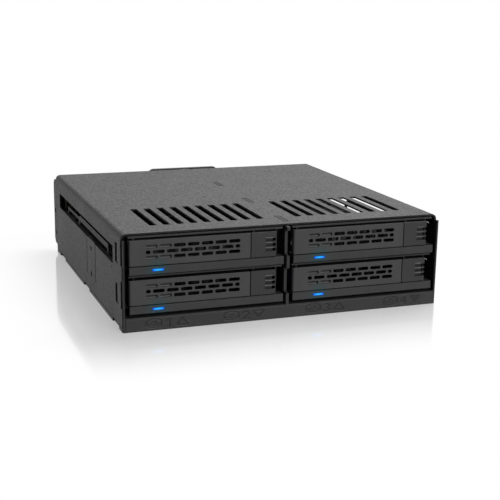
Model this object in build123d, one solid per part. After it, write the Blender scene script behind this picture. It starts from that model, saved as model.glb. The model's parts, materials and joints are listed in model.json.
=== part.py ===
from build123d import *
import math
import os

# Hot swap drive cage: four slim drive trays in the space of one half-height bay.
# Lengths are millimetres. X runs across, Y runs from the front face to the back,
# Z runs up from the underside. Pieces are drawn with Y = 0 on the front face,
# and keep() then moves the origin to the middle of the underside.

# Overall sizes
cage_width = 146.0
cage_height = 41.3
body_depth = 148.0

# Folded steel cover
cover_sheet = 0.8
cover_setback = 2.8
cover_bend = 2.4
wall_tab_edge = 0.7
seam = 0.35
recess_rise = 2.5
recess_drop = 2.3
recess_high_rise = 4.1
ear_length = 6.5
ear_bottom = 4.0
ear_drop = 2.8
ear_corner = 3.5

# Long window in each side wall
window_front = 16.3
window_setback = 10.5
window_bottom_drop = 15.5
window_top_drop = 7.8
window_corner = 1.2

# Sprung screw tongue in each side wall, and the ear behind it
tongue_middle = 60.5
tongue_width = 17.3
tongue_slit = 0.8
tongue_bottom = 8.0
tongue_rise = 0.35
bay_hole = 1.25
peep_hole = 0.5
peep_hole_front = 18.5
peep_hole_drop = 17.1
bay_hole_low = 10.0
bay_hole_high = 21.84
ear_hole_setback = 2.6
ear_slit = 0.5
ear_slit_rise = 1.0

# Openings in the wall that hold the bezel's snap arms
snap_front = 7.0
snap_length = 5.0
snap_height = 8.3
snap_rise = 3.25
snap_drop = 13.3
snap_corner = 0.6

# Ventilation slots in the top
vent_count = 9
vent_pitch = 6.07
vent_width = 3.2
vent_front = 15.3
vent_back = 50.3
vent_corner = 0.6
vent_group_middles = (-31.3, 35.2)

# Locating lugs of the divider, seen in the top
lug_first = 13.0
lug_second = 56.0
lug_setback = 47.5
lug_length = 11.4
lug_width = 1.9
lug_offset = 1.7
lug_gap = 0.3

# Lugs of the rear panel, seen at the back edge of the top
rear_lug_middles = (-57.6, 0.3, 63.4)
rear_lug_width = 2.6

# Base plate
base_sheet = 1.5
base_front = 0.6
base_tab_first = 12.4
base_tab_second = 72.0
base_tab_setback = 16.5
base_tab_length = 11.6
base_tab_gap = 0.5
base_tab_sheet = 1.0
base_hole_across = 139.7
base_hole_along = 79.25
base_hole_front = 47.4
base_vent_count = 8
base_vent_pitch = 12.0
base_vent_length = 14.0
base_vent_width = 3.0
base_vent_corner = 0.9

# Bezel
bar_height = 6.0
bar_depth = 8.0
bar_inset = 1.1
bar_wall = 1.6
bar_rib = 1.0
bar_rib_pitch = 24.0
bar_end_gap = 0.2
strip_lip_outer = 0.3
strip_lip_inner = 1.05
strip_inner = 1.2
strip_depth = 5.0
strip_lip = 0.6
snap_arm = 0.45
snap_arm_reach = 8.0
snap_hook = 0.55
post_width = 1.3
post_depth = 5.0
post_scoop = 2.8
post_gap = 0.1
post_ledge = 0.6

# Trays
tray_pitch_across = 72.4
stack_gap = 0.5
tray_floor = 7.4
front_width = 68.2
strip_inset = 0.4
door_bottom = 4.0
door_rest = 6.0
door_gap = 0.4
shelf_top = 3.6
shelf_wall = 1.0
strip_wall = 1.5
lip_setback = 2.0
lip_gap = 0.65
lip_wall = 0.7
lip_seat = 0.35
bulkhead_front = 9.5
bulkhead_wall = 1.5
bulkhead_slot_count = 10
bulkhead_slot_pitch = 5.0
bulkhead_slot_width = 2.4
bulkhead_slot_low = 6.0
bulkhead_slot_drop = 2.35
upright_left = 32.15
upright_wall = 0.65
upright_setback = 5.0
edge_round = 0.3

# Blue light window and its light pipe
lens_middle = -21.5
lens_width = 5.1
lens_bottom = 1.35
lens_height = 1.15
lens_gap = 0.05
pipe_width = 2.0
pipe_height = 0.9
pipe_bottom = 0.55
pipe_setback = 12.0

# Steel pan of a tray
drive_width = 69.85
pan_side_gap = 0.05
pan_sheet = 0.3
pan_flange_top = 5.7
pan_wall_top = 1.6
pan_setback = 10.0
pan_side_setback = 6.0
pan_slope = 1.5
rail_bottom = 4.0
rail_top = 6.5
rail_step_top = 5.4
rail_front = 31.6
rail_step_setback = 42.0
rail_setback = 14.0
rail_bridge = 1.5
pan_pad_height = 1.0
pan_pad_size = 7.0
drive_hole = 1.6
drive_hole_across = 61.72
drive_hole_front = 37.6
drive_hole_back = 114.2
pan_vent_rows = 5
pan_vent_columns = 4
pan_vent_pitch_along = 15.0
pan_vent_pitch_across = 10.0
pan_vent_length = 12.0
pan_vent_width = 4.0
pan_vent_front = 46.0

# Lever with its grille
lever_length = 52.95
lever_skin = 1.6
lever_depth = 4.6
lever_flange = 1.0
lever_hinge_inset = 2.7
hinge_setback = 2.9
lever_corner = 1.2
lever_knuckle = 2.2
grille_first = -26.8
grille_pitch = 6.0
grille_length = 5.05
grille_height = 1.5
grille_shift_up = 0.25
grille_row_pitch = 2.3
grille_long_count = 7
grille_middle_count = 6
grille_blind = 2
grille_blind_depth = 0.9
grille_corner = 0.44
grille_short = 2.0
grille_shift = 2.95
lever_pad_right = -15.9
coil_gap_height = 4.3

# Latch beside the lever
latch_length = 11.2
latch_hinge_inset = 1.9
latch_knuckle = 1.8
latch_depth = 4.2
grip_left = 25.7
grip_tooth = 1.25
grip_depth = 0.9
grip_shift_up = -0.25
grip_pitch = 2.2
grip_height = 1.35
grip_rib = 0.17
grip_ledge = 0.3

# Pins and coil springs of the lever and the latch
pin_radius = 0.6
pin_fit = 0.05
coil_radius = 1.25
coil_sides = 12
coil_leg = 0.8
coil_gap = 0.1

# Runners that carry the trays
runner_sheet = 0.8
runner_web = 1.0
runner_flange = 4.0
runner_arm_gap = 0.5
runner_setback = 8.0
runner_gap = 0.2
runner_web_high = 16.5
arch_middles = (47.4, 126.65)
arch_length = 22.0
arch_height = 3.5

# Divider between the left and the right trays
divider_sheet = 0.5
divider_front = 5.3
divider_gap = 0.3
divider_setback = 2.0
divider_top_flange = 2.9
divider_foot_flange = 4.0

# Rear panel
panel_sheet = 1.0
fan_opening_rim = 0.5

# Circuit board with its sockets
board_setback = 12.0
board_sheet = 1.6
board_width = 141.0
board_bottom = 4.6
board_drop = 3.1
board_vent_count = 6
board_vent_pitch = 18.5
board_vent_length = 15.0
board_vent_height = 6.0
board_vent_corner = 1.75
socket_width = 44.0
socket_height = 6.4
socket_depth = 7.4
socket_shift = 4.8
socket_rise = 1.9
slot_tongue_height = 1.3
slot_wall = 1.0
slot_depth = 5.6
slot_short = 5.25
port_width = 16.6
port_height = 6.6
power_width = 25.4
port_wall = 1.0
port_floor = 2.0
port_tongue = 1.2
port_gap = 0.3
port_columns = (-54.5, -33.0)
power_column = 46.0
port_rise = 12.4

# Board screws and stand-offs
standoff_radius = 2.6
screw_radius = 1.4
screw_head = 2.5
screw_head_height = 1.5
screw_recess = 1.0
hex_sides = 6
board_screw_across = 132.0
board_screw_rise = 8.0
board_screw_drop = 6.5

# Fan
fan_rest = 1.3
fan_depth = 10.0
fan_corner = 3.0
fan_wall = 0.9
fan_waist_wall = 0.3
fan_flange = 2.4
fan_screw_inset = 4.0
fan_screw_hole = 1.7
fan_strut_count = 4
fan_strut_width = 2.2
fan_strut_depth = 1.6
fan_hub = 11.0
fan_hub_gap = 0.5
fan_shaft = 1.0
fan_shaft_fit = 0.04
fan_tube = 2.6
fan_blades = 7
fan_tip_gap = 0.8
fan_hub_bevel = 0.6
fan_cup_wall = 1.0
fan_blade_trim = 0.6
fan_blade_sheet = 0.8
fan_blade_start = 0.9
fan_blade_end = 7.4
fan_twist_root = 44.0
fan_twist_tip = 27.0

# Places worked out from the sizes above
half_width = cage_width / 2
inner_half = half_width - cover_sheet
roof_under = cage_height - cover_sheet
tray_pitch_up = (cage_height - tray_floor - stack_gap) / 2
upper_floor = tray_floor + tray_pitch_up
row_floors = {"lower": tray_floor, "upper": upper_floor}
column_middles = {"left": -tray_pitch_across / 2, "right": tray_pitch_across / 2}
door_height = tray_pitch_up - door_rest
door_top = door_bottom + door_height
door_middle = door_bottom + door_height / 2
grille_middle = door_middle + grille_shift_up
grip_middle = door_middle + grip_shift_up
coil_gap_bottom = door_middle - coil_gap_height / 2
lip_bottom = door_top + lip_gap
lip_top = lip_bottom + lip_wall
lever_left = -front_width / 2
lever_right = lever_left + lever_length
lever_hinge = lever_left + lever_hinge_inset
latch_left = lever_right + door_gap
latch_right = latch_left + latch_length
latch_hinge = latch_left + latch_hinge_inset
pan_inner = drive_width / 2 + pan_side_gap
pan_outer = pan_inner + pan_sheet
panel_front = body_depth - panel_sheet
board_front = body_depth - board_setback
board_back = board_front + board_sheet
board_top = cage_height - board_drop
board_screw_rises = (board_screw_rise, cage_height - board_screw_drop)
port_rises = (port_rise, port_rise + tray_pitch_up)
runner_front = snap_front + snap_arm_reach + runner_arm_gap
runner_back = board_front - runner_setback
divider_back = board_front - divider_setback
pan_back = board_front - pan_setback
pan_side_back = board_front - pan_side_setback
rail_step = board_front - rail_step_setback
rail_back = board_front - rail_setback
pipe_back = board_front - pipe_setback
window_back = body_depth - window_setback
window_bottom = cage_height - window_bottom_drop
window_top = cage_height - window_top_drop
snap_bottoms = (tray_floor + snap_rise, cage_height - snap_drop)
lug_middles = (lug_first, lug_second, body_depth - lug_setback)
base_tab_middles = (base_tab_first, base_tab_second, body_depth - base_tab_setback)
fan_size = cage_height - fan_rest
fan_middle = cage_height / 2
fan_bore = fan_size / 2 - fan_wall
fan_opening = fan_bore - fan_opening_rim
fan_screw_reach = fan_size / 2 - fan_screw_inset
fan_blade_tip = fan_bore - fan_tip_gap


def keep(name, *solids):
    """Write one named piece, or one group of like pieces, with the origin under the middle."""
    moved = [Pos(0, -body_depth / 2, 0) * solid for solid in solids]
    shape = moved[0] if len(moved) == 1 else Compound(children=moved)
    export_step(shape, f"parts/{name}.step")


def single(shape):
    """The one solid of a shape that is in one piece."""
    return shape.solids().sort_by(SortBy.VOLUME)[-1]


def block(x0, x1, y0, y1, z0, z1):
    """A box from its low and high limits."""
    size = Box(x1 - x0, y1 - y0, z1 - z0)
    return Pos((x0 + x1) / 2, (y0 + y1) / 2, (z0 + z1) / 2) * size


def across(sketch, x0, x1):
    """Extrude a sketch of (Y, Z) points along X."""
    return extrude(Plane((x0, 0, 0), x_dir=(0, 1, 0), z_dir=(1, 0, 0)) * sketch, amount=x1 - x0)


def along(sketch, y0, y1):
    """Extrude a sketch of (X, Z) points along Y."""
    return extrude(Plane((0, y0, 0), x_dir=(1, 0, 0), z_dir=(0, -1, 0)) * sketch, amount=y0 - y1)


def upward(sketch, z0, z1):
    """Extrude a sketch of (X, Y) points along Z."""
    return extrude(Pos(0, 0, z0) * sketch, amount=z1 - z0)


def outline(*points):
    """A closed face through corner points."""
    return make_face(Polyline(*points, close=True))


def frame(a0, a1, b0, b1, corner=0.0):
    """A rectangle from its limits, with round corners where a radius is given."""
    place = Pos((a0 + a1) / 2, (b0 + b1) / 2)
    if corner <= 0:
        return place * Rectangle(a1 - a0, b1 - b0)
    return place * RectangleRounded(a1 - a0, b1 - b0, corner)


def bevelled(a0, a1, b0, b1, cut):
    """A rectangle from its limits, with its corners cut off straight."""
    return outline(
        (a0 + cut, b0),
        (a1 - cut, b0),
        (a1, b0 + cut),
        (a1, b1 - cut),
        (a1 - cut, b1),
        (a0 + cut, b1),
        (a0, b1 - cut),
        (a0, b0 + cut),
    )


def disc(a, b, radius):
    """A round face about a point."""
    return Pos(a, b) * Circle(radius)


def both_sides(shape):
    """A shape on the right and its mirror image on the left."""
    return [shape, mirror(shape, about=Plane.YZ)]


def rod(x, y, radius, z0, z1):
    """A round rod that stands upright."""
    return upward(disc(x, y, radius), z0, z1)


# Cover


def wall_outline():
    """The flat outline of one side wall, seen from the side."""
    bottom = base_sheet + seam
    bend_line = cage_height - cover_bend
    tip = body_depth + ear_length
    edge = [
        (wall_tab_edge, bottom),
        (wall_tab_edge, tray_floor + recess_rise),
        (cover_setback, tray_floor + recess_rise),
        (cover_setback, upper_floor - recess_drop),
        (wall_tab_edge, upper_floor - recess_drop),
        (wall_tab_edge, upper_floor + recess_high_rise),
        (cover_setback, upper_floor + recess_high_rise),
        (cover_setback, bend_line),
        (body_depth, bend_line),
        (body_depth, bottom),
    ]
    ear = frame(body_depth - ear_corner, tip, ear_bottom, cage_height - ear_drop)
    ear = fillet(ear.vertices().sort_by(Axis.X)[-2:], ear_corner)
    return outline(*edge) + ear


def wall_cutouts():
    """The long window, slits, snap openings and screw holes of one side wall."""
    cuts = frame(window_front, window_back, window_bottom, window_top, window_corner)
    slit_in = tongue_width / 2
    slit_out = slit_in + tongue_slit
    for side in (-1, 1):
        near = tongue_middle + side * slit_in
        far = tongue_middle + side * slit_out
        cuts += frame(min(near, far), max(near, far), tongue_bottom, window_bottom + window_corner)
    for low in snap_bottoms:
        cuts += frame(snap_front, snap_front + snap_length, low, low + snap_height, snap_corner)
    ear_hole = body_depth + ear_hole_setback
    for place in (tongue_middle, ear_hole):
        for rise in (bay_hole_low, bay_hole_high):
            cuts += disc(place, rise, bay_hole)
    cuts += disc(peep_hole_front, cage_height - peep_hole_drop, peep_hole)
    slit_low = ear_bottom + ear_slit_rise
    cuts += frame(panel_front, panel_front + ear_slit, slit_low, window_bottom + tongue_slit)
    return cuts


def tongue_end():
    """The free end of the screw tongue, which stands a little way into the window."""
    low = tongue_bottom
    high = window_bottom + tongue_rise
    end = frame(tongue_middle - tongue_width / 2, tongue_middle + tongue_width / 2, low, high)
    end = fillet(end.vertices().sort_by(Axis.Y)[-2:], window_corner)
    for rise in (bay_hole_low, bay_hole_high):
        end -= disc(tongue_middle, rise, bay_hole)
    return end


def vent_sketch(middle):
    """One group of ventilation slots in the top."""
    slots = Sketch()
    first = middle - vent_pitch * (vent_count - 1) / 2
    for step in range(vent_count):
        x = first + step * vent_pitch
        slots += bevelled(x - vent_width / 2, x + vent_width / 2, vent_front, vent_back, vent_corner)
    return slots


def make_outer_shell():
    bend_line = cage_height - cover_bend
    skirt = bend_line - cover_bend / 2
    roof = frame(-half_width, half_width, skirt, cage_height)
    roof = fillet(roof.vertices().sort_by(Axis.Y)[-2:], cover_bend)
    hollow = frame(-inner_half, inner_half, skirt - cover_bend, roof_under)
    hollow = fillet(hollow.vertices().sort_by(Axis.Y)[-2:], cover_bend - cover_sheet)
    cover = along(roof - hollow, cover_setback, body_depth)
    openings = Sketch()
    for middle in vent_group_middles:
        openings += vent_sketch(middle)
    for middle in lug_middles:
        reach = lug_length / 2 + lug_gap
        left = lug_offset - lug_width / 2 - lug_gap
        right = lug_offset + lug_width / 2 + lug_gap
        openings += frame(left, right, middle - reach, middle + reach)
    for middle in rear_lug_middles:
        reach = rear_lug_width / 2 + lug_gap
        openings += frame(middle - reach, middle + reach, panel_front - lug_gap, body_depth)
    cover -= upward(openings, bend_line, cage_height + seam)
    wall = across(wall_outline() - wall_cutouts() + tongue_end(), inner_half, half_width)
    for side in both_sides(wall):
        cover += side
    return single(cover)


# Base plate


def make_bottom_plate():
    plate = frame(-half_width, half_width, base_front, body_depth)
    for middle in base_tab_middles:
        near = middle - base_tab_length / 2
        far = middle + base_tab_length / 2
        plate -= frame(inner_half, half_width, near, far)
        plate -= frame(-half_width, -inner_half, near, far)
    hole_middle = base_hole_front + base_hole_along / 2
    for x in (-base_hole_across / 2, base_hole_across / 2):
        for y in (base_hole_front, base_hole_front + base_hole_along):
            plate -= disc(x, y, bay_hole)
    first = -base_vent_pitch * (base_vent_count - 1) / 2
    for step in range(base_vent_count):
        x = first + step * base_vent_pitch
        near = hole_middle - base_vent_length / 2
        far = hole_middle + base_vent_length / 2
        plate -= bevelled(x - base_vent_width / 2, x + base_vent_width / 2, near, far, base_vent_corner)
    base = upward(plate, 0, base_sheet)
    for middle in base_tab_middles:
        low = middle - base_tab_length / 2
        tab = frame(low, low + base_tab_length, 0, tray_floor - base_tab_gap)
        tab = chamfer(tab.vertices().sort_by(Axis.Y)[-2:], base_tab_sheet)
        for side in both_sides(across(tab, inner_half - base_tab_sheet, inner_half)):
            base += side
    return single(base)


# Divider


def make_divider():
    """The sheet between the trays, with a narrow top flange, its lugs and a foot flange."""
    half = divider_sheet / 2
    clear = bar_depth + divider_gap
    web = outline(
        (divider_front, bar_height + divider_gap),
        (clear, bar_height + divider_gap),
        (clear, base_sheet),
        (divider_back, base_sheet),
        (divider_back, roof_under),
        (divider_front, roof_under),
    )
    sheet = across(web, -half, half)
    flange_front = bulkhead_front + bulkhead_wall + divider_gap
    under = roof_under - divider_sheet
    sheet += block(-half, divider_top_flange, flange_front, divider_back, under, roof_under)
    sheet += block(-divider_foot_flange, half, clear, divider_back, base_sheet, base_sheet + divider_sheet)
    for middle in lug_middles:
        low = middle - lug_length / 2
        left = lug_offset - lug_width / 2
        sheet += block(left, left + lug_width, low, low + lug_length, roof_under, cage_height)
    return single(sheet)


# Bezel


def make_bar():
    """The moulded bar under the trays, hollow behind and open at its back, with ribs inside."""
    reach = half_width - bar_inset
    skirt = outline(
        (0, 0),
        (base_front, 0),
        (base_front, base_sheet),
        (bar_depth, base_sheet),
        (bar_depth, bar_height),
        (edge_round, bar_height),
        (0, bar_height - edge_round),
    )
    bar = across(skirt, -reach, reach)
    room = reach - bar_wall
    hollow = block(-room, room, bar_wall, bar_depth, base_sheet, bar_height - bar_wall)
    count = int(reach // bar_rib_pitch)
    for step in range(-count, count + 1):
        x = step * bar_rib_pitch
        hollow -= block(x - bar_rib / 2, x + bar_rib / 2, bar_wall, bar_depth, base_sheet, bar_height)
    return bar - hollow


def make_side_strip():
    """The thin upright at the right end of the bezel, with its two snap arms."""
    lip_out = half_width - strip_lip_outer
    lip_in = half_width - strip_lip_inner
    inside = half_width - strip_inner
    section = outline(
        (lip_out, 0),
        (lip_out, strip_lip),
        (inner_half, strip_lip),
        (inner_half, strip_depth),
        (inside, strip_depth),
        (inside, strip_lip),
        (lip_in, 0),
    )
    top = roof_under - cover_bend + cover_sheet
    upright = upward(section, 0, top)
    upright -= block(inside - seam, inner_half, base_front, bar_depth, 0, base_sheet)
    arm_end = snap_front + snap_arm_reach
    for low in snap_bottoms:
        inset = snap_corner / 2
        arm = frame(strip_depth - strip_lip, arm_end, low + inset, low + snap_height - inset, snap_corner)
        upright += across(arm, inner_half - snap_arm, inner_half)
        hook = outline(
            (inner_half, snap_front + inset),
            (inner_half + snap_hook, snap_front + inset),
            (inner_half + snap_hook, snap_front + snap_length / 2),
            (inner_half, snap_front + snap_length - inset),
        )
        upright += upward(hook, low + inset, low + snap_height - inset)
    return upright


def make_post():
    """The post between the left and right trays, scooped back beside each door."""
    half = post_width / 2
    post = block(-half, half, 0, post_depth, base_sheet, roof_under - post_gap)
    for floor in row_floors.values():
        low = floor + door_bottom
        high = floor + door_top
        scoop = outline(
            (0, low - post_ledge),
            (post_scoop, low),
            (post_scoop, high - post_ledge),
            (0, high),
        )
        post -= across(scoop, -half, half)
    return post


def make_bezel():
    bezel = make_bar() + make_post()
    for strip in both_sides(make_side_strip()):
        bezel += strip
    first_tab = base_tab_middles[0] - base_tab_length / 2 - bar_end_gap
    inside = inner_half - base_tab_sheet - bar_end_gap
    for gap in both_sides(block(inside, inner_half, first_tab, bar_depth, base_sheet, tray_floor)):
        bezel -= gap
    return single(bezel)


# Runners


def make_runner(level, foot):
    """One runner on the right: a web against the wall and a flange under the tray's floor."""
    top = level - runner_gap
    inside = inner_half - runner_web if foot > base_sheet else inner_half - base_tab_sheet - runner_web
    outside = inside + runner_web
    section = frame(inside, outside, foot, top)
    section += frame(outside - runner_flange, outside, top - runner_sheet, top)
    runner = along(section, runner_front, runner_back)
    if foot > base_sheet:
        near = tongue_middle - tongue_width / 2 - tongue_slit
        far = tongue_middle + tongue_width / 2 + tongue_slit
        runner -= block(inside, outside, near, far, foot, top - runner_sheet)
        return runner
    for middle in arch_middles:
        low = middle - arch_length / 2
        runner -= block(inside, outside, low, low + arch_length, foot, foot + arch_height)
    return runner


def make_inner_runner(level, foot):
    """One runner on the right of the divider."""
    top = level - runner_gap
    start = divider_sheet / 2
    section = frame(start, start + runner_sheet, foot, top)
    section += frame(start, start + runner_flange, top - runner_sheet, top)
    runner = along(section, runner_front, runner_back)
    return runner


def make_runners(name, level, foot, inner_foot):
    pieces = []
    for runner in (make_runner(level, foot), make_inner_runner(level, inner_foot)):
        pieces.extend(both_sides(single(runner)))
    keep(name, *pieces)


# Rear panel


def port_places():
    """The middles of the four data ports, in X and Z."""
    return [(x, z) for x in port_columns for z in port_rises]


def power_places():
    """The middles of the two power ports, in X and Z."""
    return [(power_column, z) for z in port_rises]


def fan_screw_places():
    """The four corner screws of the fan, in X and Z."""
    half = fan_screw_reach
    return [(x, fan_middle + z) for x in (-half, half) for z in (-half, half)]


def make_rear_panel():
    side = inner_half
    panel = frame(-side, side, base_sheet, roof_under)
    panel = fillet(panel.vertices().sort_by(Axis.Y)[-2:], cover_bend - cover_sheet)
    panel -= disc(0, fan_middle, fan_opening)
    for x, z in fan_screw_places():
        panel -= disc(x, z, fan_screw_hole)
    for x, z in port_places():
        reach = port_width / 2 + port_gap
        rise = port_height / 2 + port_gap
        panel -= frame(x - reach, x + reach, z - rise, z + rise)
    for x, z in power_places():
        reach = power_width / 2 + port_gap
        rise = port_height / 2 + port_gap
        panel -= frame(x - reach, x + reach, z - rise, z + rise)
    plate = along(panel, panel_front, body_depth)
    for middle in rear_lug_middles:
        reach = rear_lug_width / 2
        plate += block(middle - reach, middle + reach, panel_front, body_depth, roof_under, cage_height)
    return single(plate)


# Circuit board


def board_screw_places():
    """The four screws of the circuit board, in X and Z."""
    half = board_screw_across / 2
    return [(x, z) for x in (-half, half) for z in board_screw_rises]


def make_board():
    half = board_width / 2
    board = frame(-half, half, board_bottom, board_top)
    for x, z in board_screw_places():
        board -= disc(x, z, screw_radius)
    level = (row_floors["lower"] + row_floors["upper"]) / 2 + socket_rise + socket_height / 2
    first = -board_vent_pitch * (board_vent_count - 1) / 2
    rise = board_vent_height / 2
    for step in range(board_vent_count):
        left = first + step * board_vent_pitch - board_vent_length / 2
        board -= bevelled(left, left + board_vent_length, level - rise, level + rise, board_vent_corner)
    return single(along(board, board_front, board_back))


def make_drive_socket(column, row):
    """One drive socket: a moulded housing with two contact slots that open to the front."""
    x = column_middles[column] + socket_shift
    low = row_floors[row] + socket_rise
    face = board_front - socket_depth
    housing = frame(x - socket_width / 2, x + socket_width / 2, low, low + socket_height)
    socket = along(housing, face, board_front)
    middle = low + socket_height / 2
    reach = socket_width / 2 - slot_wall
    for x0, x1 in ((-reach, -slot_short), (slot_wall - slot_short, reach)):
        slot = frame(x + x0, x + x1, middle - slot_tongue_height, middle + slot_tongue_height)
        socket -= along(slot, face, face + slot_depth)
    return single(socket)


def make_port(x, z, width):
    """One port: a thin shroud with a contact tongue, open to the back."""
    half = width / 2
    rise = port_height / 2
    shroud = frame(x - half, x + half, z - rise, z + rise)
    inner = rise - port_wall
    inside = frame(x - half + port_wall, x + half - port_wall, z - inner, z + inner)
    port = along(shroud, board_back, body_depth)
    port -= along(inside, board_back + port_floor, body_depth)
    left = x - half + 2 * port_wall
    right = x + half - 2 * port_wall
    tongue = frame(left, right, z, z + port_tongue)
    tongue += frame(left, left + port_tongue, z - port_tongue, z + port_tongue)
    port += along(tongue, board_back, body_depth - port_wall)
    return single(port)


def make_standoffs():
    """Round spacers between the board and the rear panel, each with a flat-headed screw."""
    spacers = []
    screws = []
    for x, z in board_screw_places():
        spacers.append(single(along(disc(x, z, standoff_radius), board_back, panel_front)))
        face = board_front - screw_head_height
        head = along(disc(x, z, screw_head), face, board_front)
        shank = along(disc(x, z, screw_radius - pin_fit), board_front, board_back)
        recess = along(Pos(x, z) * RegularPolygon(screw_radius, hex_sides), face, face + screw_recess)
        screws.append(single(head + shank - recess))
    keep("board_spacers", *spacers)
    keep("board_screws", *screws)


# Fan


def make_fan_frame():
    """A square duct with corner flanges, struts across its outlet and a bearing tube."""
    half = fan_size / 2
    back = body_depth + fan_depth
    outer = frame(-half, half, fan_middle - half, fan_middle + half, fan_corner)
    duct = along(outer - disc(0, fan_middle, fan_bore), body_depth, back)
    ring = disc(0, fan_middle, half - fan_waist_wall)
    duct -= along(outer - ring, body_depth + fan_flange, back - fan_flange)
    strut_front = back - fan_strut_depth
    struts = disc(0, fan_middle, fan_hub)
    for step in range(fan_strut_count):
        angle = 45 + step * 360 / fan_strut_count
        arm = Pos(fan_bore / 2, fan_strut_width) * Rectangle(fan_bore + fan_strut_width, fan_strut_width)
        struts += Pos(0, fan_middle) * Rot(0, 0, angle) * arm
    struts &= outer
    duct += along(struts, strut_front, back)
    tube_front = body_depth + fan_blade_start + 2 * fan_strut_depth
    duct += along(disc(0, fan_middle, fan_tube), tube_front, strut_front)
    duct -= along(disc(0, fan_middle, fan_shaft + fan_shaft_fit), body_depth, strut_front)
    for x, z in fan_screw_places():
        duct -= along(disc(x, z, fan_screw_hole), body_depth, back)
    return single(duct)


def make_blade(angle):
    """One twisted blade: thin sections at the root and the tip, joined by a smooth surface."""
    middle = body_depth + (fan_blade_start + fan_blade_end) / 2
    span = fan_blade_end - fan_blade_start
    sections = []
    root = fan_hub - fan_cup_wall
    tip = fan_blade_tip + fan_blade_trim
    for radius, twist in ((root, fan_twist_root), (tip, fan_twist_tip)):
        chord = span / math.sin(math.radians(twist)) - fan_blade_sheet
        plane = Plane((0, 0, radius), x_dir=(1, 0, 0), z_dir=(0, 0, 1))
        sections.append(plane * Rot(0, 0, twist) * Rectangle(chord, fan_blade_sheet))
    blade = loft(sections)
    return Pos(0, middle, fan_middle) * Rot(0, angle, 0) * blade


def make_fan_rotor():
    """A cup-shaped hub with a shaft and seven twisted blades."""
    front = body_depth + fan_blade_start
    back = body_depth + fan_depth - fan_strut_depth - fan_hub_gap
    rotor = along(disc(0, fan_middle, fan_hub), front, back)
    cup = along(disc(0, fan_middle, fan_hub - fan_cup_wall), front + fan_strut_depth, back)
    rotor -= cup
    rotor = chamfer(rotor.edges().filter_by(GeomType.CIRCLE).sort_by(Axis.Y)[0], fan_hub_bevel)
    rotor += along(disc(0, fan_middle, fan_shaft), front, back + fan_hub_gap - fan_shaft_fit)
    for step in range(fan_blades):
        rotor += make_blade(step * 360 / fan_blades)
    rim = along(disc(0, fan_middle, fan_blade_tip), front, back + fan_hub_gap)
    return single(rotor & rim)


def make_fan_screws():
    """Four countersunk screws that hold the fan to the rear panel."""
    back = body_depth + fan_depth
    screws = []
    for x, z in fan_screw_places():
        shank = along(disc(x, z, screw_radius), panel_front, back)
        head = along(disc(x, z, screw_head), back, back + screw_head_height / 2)
        recess = along(Pos(x, z) * RegularPolygon(screw_radius, hex_sides), back, back + screw_head_height / 2)
        screws.append(single(shank + head - recess))
    return screws


# Tray pieces, drawn about the middle of a tray with Z = 0 under its floor


def make_tray_front():
    """The moulded front of a tray: light strip, shelf, lip, bulkhead and right upright."""
    half = front_width / 2
    back = bulkhead_front + bulkhead_wall
    section = outline(
        (0, edge_round),
        (edge_round, 0),
        (strip_wall, 0),
        (strip_wall, shelf_top - shelf_wall),
        (bulkhead_front, shelf_top - shelf_wall),
        (bulkhead_front, pan_sheet),
        (back, pan_sheet),
        (back, lip_top),
        (lip_setback, lip_top),
        (lip_setback, lip_bottom),
        (bulkhead_front, lip_bottom),
        (bulkhead_front, shelf_top),
        (edge_round, shelf_top),
        (0, shelf_top - edge_round),
    )
    front = across(section, strip_inset - half, half)
    upright_right = upright_left + upright_wall
    front += block(upright_left, upright_right, upright_setback, bulkhead_front, shelf_top, lip_bottom)
    window = frame(
        lens_middle - lens_width / 2 - lens_gap,
        lens_middle + lens_width / 2 + lens_gap,
        lens_bottom - lens_gap,
        lens_bottom + lens_height + lens_gap,
    )
    front -= along(window, 0, strip_wall)
    gutter = frame(
        lens_middle - pipe_width / 2 - lens_gap,
        lens_middle + pipe_width / 2 + lens_gap,
        pan_sheet,
        pipe_bottom + pipe_height + lens_gap,
    )
    front -= along(gutter, bulkhead_front, back)
    first = (lever_left + lever_right) / 2 - bulkhead_slot_pitch * (bulkhead_slot_count - 1) / 2
    vents = Sketch()
    for step in range(bulkhead_slot_count):
        x = first + step * bulkhead_slot_pitch
        left = x - bulkhead_slot_width / 2
        vents += frame(left, left + bulkhead_slot_width, bulkhead_slot_low, lip_bottom - bulkhead_slot_drop)
    front -= along(vents, bulkhead_front, back)
    for x in (lever_hinge, latch_hinge):
        front -= rod(x, hinge_setback, pin_radius, shelf_top - shelf_wall, lip_bottom + lip_seat)
    return single(front)


def side_profile():
    """The side wall of the pan: a low wall, and above it a rail on bridges with a step down."""
    front = bulkhead_front + bulkhead_wall
    wall = outline(
        (front, 0),
        (pan_back, 0),
        (pan_side_back, pan_wall_top),
        (rail_back, pan_wall_top),
        (rail_back, rail_step_top),
        (rail_step, rail_step_top),
        (rail_step - pan_slope, rail_top),
        (rail_front, rail_top),
        (rail_front, pan_wall_top),
        (front, pan_wall_top),
    )
    for near, far in ((rail_front, rail_step), (rail_step, rail_back)):
        wall -= frame(near + rail_bridge, far - rail_bridge, pan_wall_top, rail_bottom)
    return wall


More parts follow.
